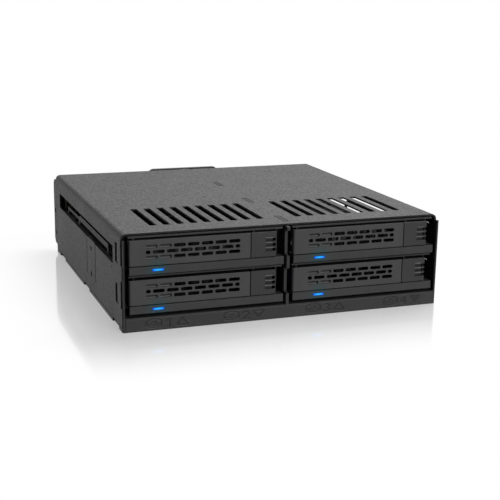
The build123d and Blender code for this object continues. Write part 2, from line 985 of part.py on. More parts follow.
def make_tray_pan():
    """The folded steel pan that carries a drive."""
    front = bulkhead_front + bulkhead_wall
    floor = frame(-pan_outer, pan_outer, front, pan_back)
    half = drive_hole_across / 2
    holes = [(x, y) for x in (-half, half) for y in (drive_hole_front, drive_hole_back)]
    for row in range(pan_vent_rows):
        for column in range(pan_vent_columns):
            x = (column - (pan_vent_columns - 1) / 2) * pan_vent_pitch_across
            y = pan_vent_front + row * pan_vent_pitch_along
            floor -= Pos(x, y) * Rectangle(pan_vent_width, pan_vent_length)
    pan = upward(floor, 0, pan_sheet)
    for side in both_sides(across(side_profile(), pan_inner, pan_outer)):
        pan += side
    flange = frame(-pan_inner, pan_inner, 0, pan_flange_top)
    gutter = pipe_width / 2 + lens_gap
    gutter_top = pipe_bottom + pipe_height + lens_gap
    flange -= frame(lens_middle - gutter, lens_middle + gutter, pan_sheet, gutter_top)
    pan += along(flange, front, front + pan_sheet)
    for x, y in holes:
        pad = Pos(x, y) * Rectangle(pan_pad_size, pan_pad_size)
        pan += upward(pad, 0, pan_sheet + pan_pad_height)
    for x, y in holes:
        pan -= rod(x, y, drive_hole, 0, pan_sheet + pan_pad_height)
    return single(pan)


def make_light_pipe():
    """The clear window in the strip and the flat rod that brings light to it."""
    low = lens_bottom
    high = lens_bottom + lens_height
    lens = block(lens_middle - lens_width / 2, lens_middle + lens_width / 2, 0, strip_wall, low, high)
    head = outline(
        (strip_wall, pipe_bottom),
        (strip_wall + lens_height, pipe_bottom),
        (strip_wall + lens_height, pipe_bottom + pipe_height),
        (strip_wall, high),
    )
    half = pipe_width / 2
    pipe = lens + across(head, lens_middle - half, lens_middle + half)
    rod_top = pipe_bottom + pipe_height
    pipe += block(lens_middle - half, lens_middle + half, strip_wall, pipe_back, pipe_bottom, rod_top)
    return single(pipe)


def grille_slot(left, middle, length):
    """One slot of the grille from its left end, with its corners cut off."""
    rise = grille_height / 2
    return bevelled(left, left + length, middle - rise, middle + rise, grille_corner)


def grille_slots():
    """The slots of the grille as two sketches: those cut through and those left blind."""
    through = Sketch()
    blind = Sketch()
    for middle in (grille_middle - grille_row_pitch, grille_middle + grille_row_pitch):
        for step in range(grille_long_count):
            slot = grille_slot(grille_first + step * grille_pitch, middle, grille_length)
            if step < grille_blind:
                blind += slot
            else:
                through += slot
    first = grille_first + grille_shift
    for step in range(grille_middle_count):
        through += grille_slot(first + step * grille_pitch, grille_middle, grille_length)
    for left in (grille_first, first + grille_middle_count * grille_pitch):
        through += grille_slot(left, grille_middle, grille_short)
    return through, blind


def make_lever():
    """The grilled door of a tray, which is also the lever that draws it: a hollow moulding."""
    plan = frame(lever_left, lever_right, 0, lever_skin)
    plan = fillet(plan.vertices().sort_by(Axis.X)[:2].sort_by(Axis.Y)[0], lever_corner)
    door = upward(plan, door_bottom, door_top)
    wall_plan = frame(lever_hinge, lever_right, lever_skin, lever_depth)
    rim = upward(wall_plan, door_bottom, door_top)
    pad = frame(lever_hinge, lever_pad_right, door_bottom, door_top)
    floor = door_bottom + lever_flange
    hollow = frame(lever_pad_right, lever_right - lever_flange, floor, door_top - lever_flange)
    rim -= along(hollow, lever_skin, lever_depth)
    lever = door + rim + along(pad, lever_skin / 2, lever_depth)
    lever += rod(lever_hinge, hinge_setback, lever_knuckle, door_bottom, door_top)
    through, blind = grille_slots()
    lever -= along(through, 0, lever_depth)
    lever -= along(blind, 0, grille_blind_depth)
    clear = lever_knuckle + coil_gap
    room = frame(lever_hinge - clear, lever_hinge + clear, lever_skin - coil_gap, lever_depth + clear)
    lever -= upward(room, coil_gap_bottom, coil_gap_bottom + coil_gap_height)
    lever -= rod(lever_hinge, hinge_setback, pin_radius + pin_fit, door_bottom, door_top)
    return single(lever)


def make_latch():
    """The release latch: a plate with a grooved grip, toothed along its free edge."""
    plan = frame(latch_left, latch_right, 0, lever_skin)
    latch = upward(plan, door_bottom, door_top)
    rim = frame(latch_hinge, latch_right - grip_tooth, lever_skin, latch_depth)
    rim_low = upward(rim, door_bottom, door_bottom + lever_flange)
    rim_high = upward(rim, door_top - lever_flange, door_top)
    latch += rim_low + rim_high
    latch += rod(latch_hinge, hinge_setback, latch_knuckle, door_bottom, door_top)
    for middle in (grip_middle - grip_pitch, grip_middle, grip_middle + grip_pitch):
        low = middle - grip_height / 2
        high = low + grip_height
        latch -= block(latch_right - grip_tooth, latch_right, 0, lever_skin, low, high)
        latch -= block(grip_left, latch_right - grip_tooth, 0, grip_depth, low, high)
        rib = high + grip_rib
        ledge = outline((0, rib), (grip_ledge, rib + grip_ledge), (0, rib + 2 * grip_ledge))
        latch -= across(ledge, grip_left, latch_right - grip_tooth)
    clear = latch_knuckle + coil_gap
    room = frame(latch_hinge - clear, latch_hinge + clear, lever_skin - coil_gap, hinge_setback + clear)
    latch -= upward(room, coil_gap_bottom, coil_gap_bottom + coil_gap_height)
    latch -= rod(latch_hinge, hinge_setback, pin_radius + pin_fit, door_bottom, door_top)
    return single(latch)


def make_pin(x):
    """A hinge pin between the shelf and the lip of the tray's front."""
    return single(rod(x, hinge_setback, pin_radius, shelf_top - shelf_wall, lip_bottom + lip_seat))


def make_coil(x):
    """A close-wound spring round a pin, drawn as one many-sided sleeve with a straight leg."""
    low = coil_gap_bottom + coil_gap
    high = coil_gap_bottom + coil_gap_height - coil_gap
    inner = pin_radius + pin_fit
    ring = RegularPolygon(coil_radius, coil_sides) - RegularPolygon(inner, coil_sides, major_radius=False)
    sleeve = upward(Pos(x, hinge_setback) * ring, low, high)
    leg = block(x - coil_radius, x - inner, hinge_setback, bulkhead_front, low, low + coil_leg)
    return single(sleeve + leg)


def make_tray(column, row):
    """Write the pieces of one tray in its place."""
    place = Pos(column_middles[column], 0, row_floors[row])
    name = f"{row}_{column}"
    keep(f"tray_front_{name}", place * make_tray_front())
    keep(f"tray_pan_{name}", place * make_tray_pan())
    keep(f"light_pipe_{name}", place * make_light_pipe())
    keep(f"lever_{name}", place * make_lever())
    keep(f"lever_pin_{name}", place * make_pin(lever_hinge))
    keep(f"lever_spring_{name}", place * make_coil(lever_hinge))
    keep(f"latch_{name}", place * make_latch())
    keep(f"latch_pin_{name}", place * make_pin(latch_hinge))
    keep(f"latch_spring_{name}", place * make_coil(latch_hinge))


def main():
    os.makedirs("parts", exist_ok=True)
    keep("outer_shell", make_outer_shell())
    keep("bottom_plate", make_bottom_plate())
    keep("center_divider", make_divider())
    keep("front_bezel", make_bezel())
    web_foot = row_floors["upper"] - runner_gap - runner_sheet - (runner_web_high - tray_floor) / 2
    make_runners("upper_runners", row_floors["upper"], web_foot, web_foot)
    make_runners("lower_runners", row_floors["lower"], base_sheet, base_sheet + divider_sheet)
    keep("rear_panel", make_rear_panel())
    keep("backplane_board", make_board())
    keep("drive_sockets", *[make_drive_socket(c, r) for c in column_middles for r in row_floors])
    keep("data_ports", *[make_port(x, z, port_width) for x, z in port_places()])
    keep("power_ports", *[make_port(x, z, power_width) for x, z in power_places()])
    make_standoffs()
    keep("fan_frame", make_fan_frame())
    keep("fan_rotor", make_fan_rotor())
    keep("fan_screws", *make_fan_screws())
    for column in column_middles:
        for row in row_floors:
            make_tray(column, row)


main()
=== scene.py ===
"""Hot swap drive cage: its finishes, small moulded and plated details, floor, light and camera.

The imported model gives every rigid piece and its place. Lengths here are metres. X runs across,
Y from the front face to the back, Z up, and the origin is under the middle of the cage.
"""

import json
import math

import bpy
import numpy as np
from mathutils import Matrix, Vector


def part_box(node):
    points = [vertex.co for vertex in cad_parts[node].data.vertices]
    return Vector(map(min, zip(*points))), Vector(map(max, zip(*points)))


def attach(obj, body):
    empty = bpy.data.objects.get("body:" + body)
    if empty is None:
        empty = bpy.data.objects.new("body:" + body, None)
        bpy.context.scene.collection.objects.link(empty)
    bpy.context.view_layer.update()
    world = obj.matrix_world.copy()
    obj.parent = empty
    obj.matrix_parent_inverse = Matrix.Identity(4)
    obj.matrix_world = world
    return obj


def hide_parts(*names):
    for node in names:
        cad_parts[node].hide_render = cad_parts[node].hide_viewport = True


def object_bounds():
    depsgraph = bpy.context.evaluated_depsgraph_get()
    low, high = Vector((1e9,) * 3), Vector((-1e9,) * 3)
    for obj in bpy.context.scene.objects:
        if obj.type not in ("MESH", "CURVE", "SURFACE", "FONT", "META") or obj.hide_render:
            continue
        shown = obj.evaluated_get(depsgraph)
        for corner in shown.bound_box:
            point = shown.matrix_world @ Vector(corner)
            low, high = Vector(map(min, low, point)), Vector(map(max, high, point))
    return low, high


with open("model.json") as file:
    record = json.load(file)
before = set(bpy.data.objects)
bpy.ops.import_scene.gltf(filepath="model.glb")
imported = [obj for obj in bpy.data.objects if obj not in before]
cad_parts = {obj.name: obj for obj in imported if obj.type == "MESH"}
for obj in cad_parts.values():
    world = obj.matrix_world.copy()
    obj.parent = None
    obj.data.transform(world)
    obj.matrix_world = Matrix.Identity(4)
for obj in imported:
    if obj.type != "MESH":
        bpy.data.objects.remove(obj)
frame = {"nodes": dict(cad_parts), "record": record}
cad_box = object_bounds()

MM = 0.001
BODIES = frame["record"]["behaviour"]["bodies"]
BODY_OF = {node: body for body, members in BODIES.items() for node in members}
TRAYS = [f"{row}_{column}" for row in ("lower", "upper") for column in ("left", "right")]


# The pitch of the trays and the lower left tray's middle and floor, from the boxes of the nodes

LOW_TRAY, HIGH_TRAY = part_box("tray_pan_lower_left")
FAR_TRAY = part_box("tray_pan_upper_right")[0]
TRAY_PITCH = FAR_TRAY.x - LOW_TRAY.x
TRAY_RISE = FAR_TRAY.z - LOW_TRAY.z
TRAY_MIDDLE = (LOW_TRAY.x + HIGH_TRAY.x) / 2
TRAY_FLOOR = LOW_TRAY.z
FRONT = cad_box[0].y

# The middle of a light window, from its tray's middle and floor

WINDOW_X = -21.5 * MM
WINDOW_Z = 1.93 * MM

# Places on the side walls: the screw tongue, the rear ear, the screws and the snap openings

TONGUE = FRONT + 60.5 * MM
EAR = FRONT + 150.6 * MM
LOW_SCREW = 10.0 * MM
HIGH_SCREW = 21.84 * MM
SNAP = FRONT + 9.5 * MM
LOW_SNAP = 14.8 * MM
HIGH_SNAP = 32.15 * MM
COVER_SHEET = 0.8 * MM


# Node expressions


class Wire:
    """An output socket. Arithmetic on it adds Math nodes to the tree that it belongs to."""

    def __init__(self, graph, socket):
        self.graph = graph
        self.socket = socket

    def maths(self, operation, first, second):
        return self.graph.add("Math", {0: first, 1: second}, operation=operation)

    def __add__(self, other):
        return self.maths("ADD", self, other)

    def __radd__(self, other):
        return self.maths("ADD", other, self)

    def __sub__(self, other):
        return self.maths("SUBTRACT", self, other)

    def __rsub__(self, other):
        return self.maths("SUBTRACT", other, self)

    def __mul__(self, other):
        return self.maths("MULTIPLY", self, other)

    def __pow__(self, other):
        return self.maths("POWER", self, other)

    def __abs__(self):
        return self.maths("ABSOLUTE", self, 0)

    def most(self, other):
        return self.maths("MAXIMUM", self, other)

    def least(self, other):
        return self.maths("MINIMUM", self, other)

    def remainder(self, other):
        return self.maths("FLOORED_MODULO", self, other)


class Graph:
    """A node tree. add() makes any node from its type, its settings and its inputs."""

    def __init__(self, tree):
        self.tree = tree

    def feed(self, socket, value):
        if isinstance(value, Wire):
            self.tree.links.new(value.socket, socket)
            return
        if socket.type == "RGBA" and len(value) == 3:
            value = (*value, 1.0)
        socket.default_value = value

    def add(self, kind, inputs=None, output=0, **settings):
        node = self.tree.nodes.new("ShaderNode" + kind)
        for name, value in settings.items():
            setattr(node, name, value)
        for name, value in (inputs or {}).items():
            self.feed(node.inputs[name], value)
        return None if output is None else Wire(self, node.outputs[output])

    def mix(self, factor, first, second):
        """One colour turning into another."""
        return self.add("Mix", {0: factor, 6: first, 7: second}, output=2, data_type="RGBA")

    def step(self, value, low, high):
        """0 below low, 1 above high, and a smooth rise between them."""
        inputs = {"Value": value, "From Min": low, "From Max": high}
        return self.add("MapRange", inputs, interpolation_type="SMOOTHSTEP")

    def parts(self, vector):
        """The X, Y and Z of a vector."""
        split = self.add("SeparateXYZ", {0: vector})
        outputs = split.socket.node.outputs
        return [Wire(self, outputs[axis]) for axis in range(3)]


class Finish(Graph):
    """A procedural material round one Principled shader, patterned on Object coordinates."""

    def __init__(self, name, **constants):
        self.material = bpy.data.materials.new(name)
        self.material.use_nodes = True
        super().__init__(self.material.node_tree)
        self.shader = self.tree.nodes["Principled BSDF"]
        self.place = self.add("TexCoord", output="Object")
        for socket, value in constants.items():
            self.feed(self.shader.inputs[socket.replace("_", " ")], value)

    def shade(self, **inputs):
        for socket, value in inputs.items():
            self.feed(self.shader.inputs[socket.replace("_", " ")], value)

    def noise(self, size, detail=2.0, rough=0.5, stretch=None):
        """Noise with features of about the given size in metres."""
        place = self.place
        if stretch:
            place = self.add("Mapping", {"Vector": place, "Scale": stretch})
        inputs = {"Vector": place, "Scale": 1 / size, "Detail": detail, "Roughness": rough}
        return self.add("TexNoise", inputs)

    def cells(self, size):
        """Distance to the nearest of many scattered points about the given size apart."""
        return self.add("TexVoronoi", {"Vector": self.place, "Scale": 1 / size})

    def round_edges(self, radius):
        """The normal with every edge rounded off."""
        return self.add("Bevel", {"Radius": radius}, samples=6)

    def edge_mask(self, rounded):
        """1 along edges and 0 on flat stretches."""
        true_normal = self.add("NewGeometry", output="True Normal")
        inputs = {0: rounded, 1: true_normal}
        same = self.add("VectorMath", inputs, output="Value", operation="DOT_PRODUCT")
        return self.step(1 - same, 0.02, 0.25)

    def behind(self, depth):
        """0 on the front and 1 further back than the given depth behind the front face."""
        along = self.parts(self.place)[1]
        return self.step(along, FRONT + depth, FRONT + depth + 0.15 * MM)

    def band(self, value, middle, half, soft=0.08 * MM):
        """1 where a value is within half of its middle, and 0 outside."""
        return 1 - self.step(abs(value - middle), half - soft, half + soft)

    def in_tray(self):
        """Distance right of its tray's middle and above its tray's floor, the same in all four trays."""
        across, height = self.parts(self.place)[::2]
        local_x = (across - TRAY_MIDDLE + TRAY_PITCH / 2).remainder(TRAY_PITCH) - TRAY_PITCH / 2
        return local_x, (height - TRAY_FLOOR).remainder(TRAY_RISE)

    def wall_gaps(self):
        """1 close round the slits, screw holes and snap openings of the side walls, where the cover is
        painted nearly black as shade, and 0 elsewhere.
        """
        along, height = self.parts(self.place)[1:]
        from_tongue = abs(along - TONGUE)
        slits = self.band(from_tongue, 9.05 * MM, 0.75 * MM, 0.25 * MM)
        slits = slits * self.band(height, 17 * MM, 9 * MM)
        beside = from_tongue.least(abs(along - EAR))
        above = abs(height - LOW_SCREW).least(abs(height - HIGH_SCREW))
        holes = 1 - self.step((beside ** 2 + above ** 2) ** 0.5, 1.35 * MM, 1.8 * MM)
        snaps = self.band(along, SNAP, 2.95 * MM, 0.2 * MM)
        low_snap = self.band(height, LOW_SNAP, 4.5 * MM, 0.2 * MM)
        high_snap = self.band(height, HIGH_SNAP, 4.5 * MM, 0.2 * MM)
        return slits.most(holes).most(snaps * low_snap.most(high_snap))

    def outer_side(self):
        """1 on the outer skin of the cover, and 0 inside it, on its cut edges that face forward and,
        mostly, close round the gaps of its side walls: these are painted nearly black as shade.
        """
        across, height = self.parts(self.place)[::2]
        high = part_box("outer_shell")[1]
        wall = self.step(abs(across), high.x - COVER_SHEET * 0.6, high.x - COVER_SHEET * 0.35)
        roof = self.step(height, high.z - COVER_SHEET * 0.6, high.z - COVER_SHEET * 0.35)
        facing = self.parts(self.add("NewGeometry", output="True Normal"))[1]
        side = wall * (1 - self.wall_gaps() * 0.85)
        return side.most(roof) * (1 - self.step(0 - facing, 0.5, 0.8) * 0.95)

    def relief(self, height, depth, normal):
        """A bump of the given depth in metres on top of a normal."""
        return self.add("Bump", {"Strength": 1.0, "Distance": depth, "Height": height, "Normal": normal})


# Finishes


def powder_coat(name, dark, light, edge, grain=0.85 * MM, depth=0.13 * MM, roughness=0.5, shell=False,
                painted_lighting=None):
    """Fine orange-peel powder coat on steel, paler at edges: partly wear through the coat, partly a painted
    highlight.

    A shell is painted nearly black inside, on its cut edges that face forward and close round the gaps of
    its side walls, as painted shade. An optional function adds painted shade for one kind of piece.
    """
    coat = Finish(name, Specular_IOR_Level=0.22)
    rounded = coat.round_edges(0.25 * MM)
    peel = coat.cells(grain)
    fine = coat.noise(grain * 0.4, detail=3)
    cloud = coat.noise(22 * MM, detail=4)
    speck = coat.noise(grain * 1.4, detail=2, rough=0.7)
    tone = (speck - 0.5) * 3.6 + (fine - 0.5) * 1.6 + peel * 0.3 + cloud * 0.3 + 0.2
    # Paler edges: partly wear through the coat, partly a painted highlight on the lit edges.
    worn_lit_edges = coat.edge_mask(rounded) * coat.step(coat.noise(1.6 * MM), 0.35, 0.7)
    colour = coat.mix(worn_lit_edges * 0.5, coat.mix(tone, dark, light), edge)
    # Painted shade: the cover's inside, forward cut edges and wall gap rims go nearly black.
    if shell:
        outer = coat.outer_side()
        colour = coat.mix(outer, (0.004, 0.004, 0.004), colour)
    # Painted light or shade for one kind of piece, from the given function.
    if painted_lighting:
        colour = painted_lighting(coat, colour)
    coat.shade(Base_Color=colour)
    coat.shade(Roughness=roughness + (fine - 0.5) * 0.16 + (cloud - 0.5) * 0.12)
    coat.shade(Normal=coat.relief(peel + fine * 0.6, depth, rounded))
    return coat


def moulding(name, dark, light, grain=0.3 * MM, depth=0.02 * MM, roughness=0.48, shade_depth=None, painted_lighting=None):
    """Moulded plastic with a fine eroded texture and polished edges, whose paler colour is partly wear and
    partly a painted highlight.

    Where a depth is given, the plastic further back than that is painted nearly black, as painted shade in
    recesses. An optional function adds painted light or shade for one kind of piece.
    """
    plastic = Finish(name, Specular_IOR_Level=0.25)
    rounded = plastic.round_edges(0.16 * MM)
    fine = plastic.noise(grain, detail=4, rough=0.6)
    cloud = plastic.noise(14 * MM, detail=3)
    flow = plastic.noise(5 * MM, detail=2, stretch=(1, 1, 0.25))
    edges = plastic.edge_mask(rounded)
    tone = fine * 0.5 + cloud * 0.35 + flow * 0.3 - 0.1
    colour = plastic.mix(tone, dark, light)
    # Paler edges: partly wear, partly a painted highlight; the lower roughness there is polish.
    colour = plastic.mix(edges * 0.6, colour, light)
    # Painted shade: plastic further back than the given depth goes nearly black.
    if shade_depth:
        colour = plastic.mix(plastic.behind(shade_depth), colour, (0.002, 0.002, 0.002))
    # Painted light or shade for one kind of piece, from the given function.
    if painted_lighting:
        colour = painted_lighting(plastic, colour)
    plastic.shade(Base_Color=colour)
    plastic.shade(Roughness=roughness + (cloud - 0.5) * 0.14 - edges * 0.12)
    plastic.shade(Normal=plastic.relief(fine, depth, rounded))
    return plastic


def sign_moulding(name):
    """The bar's plastic, painted dark as shade where the signs are sunk below its face."""
    skin = moulding(name, (0.012, 0.012, 0.012), (0.032, 0.032, 0.032), roughness=0.48)
    along, height = skin.parts(skin.place)[1:]
    signs = skin.band(height, 3.2 * MM, 2.2 * MM)
    # Painted shade: the sunk strokes of the signs are darkened nearly to black.
    sunk = skin.step(along, FRONT - 0.18 * MM, FRONT - 0.03 * MM) * signs
    plain = skin.shader.inputs["Base Color"].links[0].from_socket
    skin.shade(Base_Color=skin.mix(sunk * 0.85, Wire(skin, plain), (0.0, 0.0, 0.0)))
    return skin


def window_painted_glow(plastic, colour):
    """A painted faint blue-green glow of the light window on the plastic round it."""
    local_x, local_z = plastic.in_tray()
    away = ((local_x - WINDOW_X) ** 2 + (local_z - WINDOW_Z) ** 2) ** 0.5
    # Painted glow of the light window.
    return plastic.mix((1 - plastic.step(away, 1.5 * MM, 6.5 * MM)) * 0.4, colour, (0.0, 0.06, 0.075))


def lever_painted_light(plastic, colour):
    """The painted glow of the light window, and a painted highlight on the lower lips of the four blind
    slots of the grille.
    """
    colour = window_painted_glow(plastic, colour)
    local_x, local_z = plastic.in_tray()
    blind = plastic.band(local_x, -21.3 * MM, 5.3 * MM)
    lips = plastic.band(local_z, 6.8 * MM, 0.24 * MM).most(plastic.band(local_z, 11.4 * MM, 0.24 * MM))
    sunk = plastic.behind(0.2 * MM)
    # Painted highlight on the lower lips of the blind slots.
    return plastic.mix(blind * lips * sunk, colour, (0.10, 0.10, 0.10))


def latch_painted_highlight(plastic, colour):
    """A painted highlight along the lit tops of the three ribs of the grip."""
    local_x, local_z = plastic.in_tray()
    ribs = plastic.band((local_z - 6.8 * MM).remainder(2.2 * MM), 1.1 * MM, 0.2 * MM)
    grip = plastic.band(local_x, 27.5 * MM, 1.7 * MM) * plastic.band(local_z, 10.1 * MM, 2.9 * MM)
    # Painted highlight on the rib tops.
    return plastic.mix(ribs * grip * 0.9, colour, (0.13, 0.13, 0.13))


def bezel_painted_shade(plastic, colour):
    """Painted shade on the thin uprights at both ends, which stay in the shade of the cover."""
    across, height = plastic.parts(plastic.place)[::2]
    ends = plastic.step(abs(across), 70.9 * MM, 71.1 * MM) * plastic.step(height, 6.0 * MM, 6.3 * MM)
    # Painted shade on the end uprights.
    return plastic.mix(ends * 0.85, colour, (0.002, 0.002, 0.002))


def pan_painted_shade(coat, colour):
    """Painted shade on the floor of the pan, darker towards the front of the tray under its bulkhead."""
    along = coat.parts(coat.place)[1]
    floor = 1 - coat.step(coat.in_tray()[1], 2.2 * MM, 3.0 * MM)
    front = 1 - coat.step(along, FRONT + 35 * MM, FRONT + 110 * MM)
    # Painted shade near the front of the pan's floor.
    return coat.mix(floor * front * 0.85, colour, (0.001, 0.001, 0.001))


def plated(name, dark, light, roughness=0.3, brush=(1, 0.06, 1), grain=0.35 * MM):
    """Plated metal with a cloudy tarnish and fine drawn lines, along Y where no brush is given."""
    metal = Finish(name, Metallic=1.0)
    rounded = metal.round_edges(0.12 * MM)
    lines = metal.noise(grain, detail=3, stretch=brush)
    cloud = metal.noise(6 * MM, detail=4)
    metal.shade(Base_Color=metal.mix(lines * 0.5 + cloud * 0.5, dark, light))
    metal.shade(Roughness=roughness + (lines - 0.5) * 0.2 + (cloud - 0.5) * 0.15)
    metal.shade(Normal=metal.relief(lines, 0.006 * MM, rounded))
    return metal


def light_window(name):
    """Blue lens: bright in the window at the front, dim along the rod behind it."""
    lens = Finish(name, IOR=1.49, Specular_IOR_Level=0.2)
    depth = lens.parts(lens.place)[1]
    lit = 1 - lens.step(depth, FRONT + 0.2 * MM, FRONT + 2.5 * MM)
    ripple = lens.noise(0.8 * MM, detail=2)
    local_x, local_z = lens.in_tray()
    off_x = abs(local_x - WINDOW_X)
    off_z = abs(local_z - WINDOW_Z)
    heart = (1 - lens.step(off_x, 0.7 * MM, 2.3 * MM)) * (1 - lens.step(off_z, 0.1 * MM, 0.6 * MM))
    rim = lens.mix(ripple, (0.0, 0.10, 0.80), (0.0, 0.16, 0.95))
    core = lens.mix(heart, rim, (0.005, 0.46, 1.0))
    inside = (1 - lens.step(off_x, 2.15 * MM, 2.5 * MM)) * (1 - lens.step(off_z, 0.36 * MM, 0.52 * MM))
    core = lens.mix((1 - inside) * 0.9, core, (0.0, 0.01, 0.09))
    rod = lens.mix(ripple, (0.003, 0.006, 0.010), (0.005, 0.010, 0.016))
    lens.shade(Base_Color=lens.mix(lit, rod, (0.0, 0.02, 0.1)))
    lens.shade(Emission_Color=lens.mix(lit, (0.0, 0.002, 0.006), core))
    lens.shade(Roughness=0.28 + ripple * 0.12)
    lens.shade(Normal=lens.relief(ripple, 0.01 * MM, lens.round_edges(0.12 * MM)))
    lens.shade(Emission_Strength=1.0)
    return lens


def circuit_board(name):
    """Black solder mask over faint tracks on a grid, with a plated dot at each grid point."""
    board = Finish(name)
    across, height = board.parts(board.place)[::2]
    pitch = 2.54 * MM
    track_x = abs(across.remainder(pitch) - pitch / 2)
    track_z = abs(height.remainder(pitch) - pitch / 2)
    zone = board.step(board.noise(17 * MM, detail=0), 0.46, 0.5)
    upright = (1 - board.step(track_x, 0.25 * MM, 0.3 * MM)) * zone
    level = (1 - board.step(track_z, 0.25 * MM, 0.3 * MM)) * (1 - zone)
    dot = (track_x ** 2 + track_z ** 2) ** 0.5
    pad = 1 - board.step(dot, 0.42 * MM, 0.46 * MM)
    copper = upright + level
    mask = board.mix(board.noise(0.6 * MM), (0.004, 0.005, 0.005), (0.007, 0.008, 0.008))
    raised = board.mix(copper, mask, (0.012, 0.014, 0.013))
    board.shade(Base_Color=board.mix(pad * 0.5, raised, (0.30, 0.24, 0.13)))
    board.shade(Metallic=pad * 0.5)
    board.shade(Roughness=0.32 + board.noise(3 * MM) * 0.12)
    board.shade(Normal=board.relief(copper + pad, 0.03 * MM, board.round_edges(0.1 * MM)))
    return board


# The cover is painted nearly black inside, on forward cut edges and round its wall gaps, as painted shade.
COVER = powder_coat("cover_steel_coat", (0.004, 0.004, 0.0042), (0.062, 0.062, 0.063), (0.07, 0.07, 0.071),
                    roughness=0.58, shell=True)
PLATE = powder_coat("plate_steel_coat", (0.008, 0.008, 0.008), (0.032, 0.032, 0.033), (0.05, 0.05, 0.05))
# The inner steel is far darker than the cover's coat, as painted shade inside the cage.
INNER_SHADE = powder_coat("inner_steel_coat", (0.002, 0.002, 0.002), (0.006, 0.006, 0.006), (0.008, 0.008, 0.008),
                    roughness=0.6)
RAIL = powder_coat("pan_steel_coat", (0.006, 0.006, 0.006), (0.016, 0.016, 0.0165), (0.014, 0.014, 0.014),
                   grain=0.5 * MM, depth=0.03 * MM, roughness=0.6, painted_lighting=pan_painted_shade)
# Each given depth paints the plastic behind the front nearly black, as painted shade in recesses.
BEZEL = moulding("bezel_moulding", (0.012, 0.012, 0.012), (0.030, 0.030, 0.030), shade_depth=5 * MM,
                 painted_lighting=bezel_painted_shade)
TRAY = moulding("tray_moulding", (0.015, 0.015, 0.015), (0.042, 0.042, 0.042), roughness=0.46,
                shade_depth=4.4 * MM, painted_lighting=window_painted_glow)
LEVER = moulding("lever_moulding", (0.023, 0.023, 0.023), (0.066, 0.066, 0.066), roughness=0.5,
                 shade_depth=0.12 * MM, painted_lighting=lever_painted_light)
LATCH = moulding("latch_moulding", (0.013, 0.013, 0.013), (0.034, 0.034, 0.034), shade_depth=0.45 * MM,
                 painted_lighting=latch_painted_highlight)
SOCKET = moulding("socket_moulding", (0.010, 0.010, 0.010), (0.022, 0.022, 0.022), grain=0.12 * MM)
FAN = moulding("fan_moulding", (0.012, 0.012, 0.012), (0.028, 0.028, 0.028), grain=0.3 * MM)
ROTOR = moulding("rotor_moulding", (0.014, 0.014, 0.014), (0.034, 0.034, 0.034), roughness=0.36)
STEEL = plated("turned_steel", (0.42, 0.41, 0.39), (0.62, 0.61, 0.58), brush=(1, 1, 0.1))
SPRING = plated("spring_wire", (0.36, 0.36, 0.36), (0.58, 0.58, 0.57), roughness=0.26)
SCREW = plated("blackened_screw", (0.03, 0.03, 0.03), (0.075, 0.073, 0.07), roughness=0.38)
GOLD = plated("contact_gold", (0.72, 0.46, 0.16), (0.92, 0.66, 0.28), roughness=0.24)
BLUE = light_window("blue_window")
BOARD = circuit_board("board_mask")
SIGN = sign_moulding("sign_moulding")

SLOT_FINISHES = {
    "cover_steel": COVER,
    "base_steel": PLATE,
    "panel_steel": PLATE,
    "inner_steel": INNER_SHADE,
    "pan_steel": RAIL,
    "bezel_plastic": BEZEL,
    "tray_plastic": TRAY,
    "lever_plastic": LEVER,
    "latch_plastic": LATCH,
    "light_blue": BLUE,
    "circuit_board": BOARD,
    "socket_plastic": SOCKET,
    "port_plastic": SOCKET,
    "fan_plastic": FAN,
    "rotor_plastic": ROTOR,
    "bare_steel": STEEL,
    "spring_steel": SPRING,
    "screw_black": SCREW,
}


def dress_nodes():
    """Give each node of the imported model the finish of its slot, and the pins that of the screws."""
    for name, node in frame["nodes"].items():
        for slot in node.material_slots:
            finish = SCREW if "_pin_" in name else SLOT_FINISHES[slot.material.name.split(".")[0]]
            slot.material = finish.material


# Meshes from grids of points


def grid_faces(rows, columns, loop_rows=False, loop_columns=False):
    """Four-cornered faces of a grid: corner (i, j) joins (i, j+1), (i+1, j+1) and (i+1, j)."""
    last_row = rows if loop_rows else rows - 1
    last_column = columns if loop_columns else columns - 1
    i, j = np.meshgrid(np.arange(last_row), np.arange(last_column), indexing="ij")
    next_i = (i + 1) % rows
    next_j = (j + 1) % columns
    corners = (i * columns + j, i * columns + next_j, next_i * columns + next_j, next_i * columns + j)
    return np.stack([corner.ravel() for corner in corners], axis=1)


def new_piece(name, points, faces, body, finish, node=None):
    """One object from arrays of points and faces, riding on a body."""
    mesh = bpy.data.meshes.new(name)
    mesh.from_pydata(np.asarray(points, float).tolist(), [], faces)
    mesh.polygons.foreach_set("use_smooth", np.full(len(mesh.polygons), True))
    mesh.update()
    mesh.materials.append(finish.material)
    piece = bpy.data.objects.new(name, mesh)
    bpy.context.scene.collection.objects.link(piece)
    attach(piece, body)
    if node:
        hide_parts(node)
    return piece


def tube(path, radius, sides=10):
    """A round tube along a path that nowhere runs upright.

    Ring point = path point + radius * (cos a * outward + sin a * upward), where outward is the
    tangent crossed with Z and upward is outward crossed with the tangent. The ends are capped.
    """
    tangent = np.gradient(path, axis=0)
    tangent /= np.linalg.norm(tangent, axis=1, keepdims=True)
    outward = np.cross(tangent, (0.0, 0.0, 1.0))
    outward /= np.linalg.norm(outward, axis=1, keepdims=True)
    upward = np.cross(outward, tangent)
    angle = np.linspace(0, math.tau, sides, endpoint=False)
    ring = np.cos(angle)[None, :, None] * outward[:, None] + np.sin(angle)[None, :, None] * upward[:, None]
    points = (path[:, None] + radius * ring).reshape(-1, 3)
    faces = grid_faces(len(path), sides, loop_columns=True)[:, ::-1].tolist()
    faces.append(list(range(sides)))
    faces.append(list(range((len(path) - 1) * sides, len(path) * sides))[::-1])
    return points, faces


# Wound springs of the levers and the latches


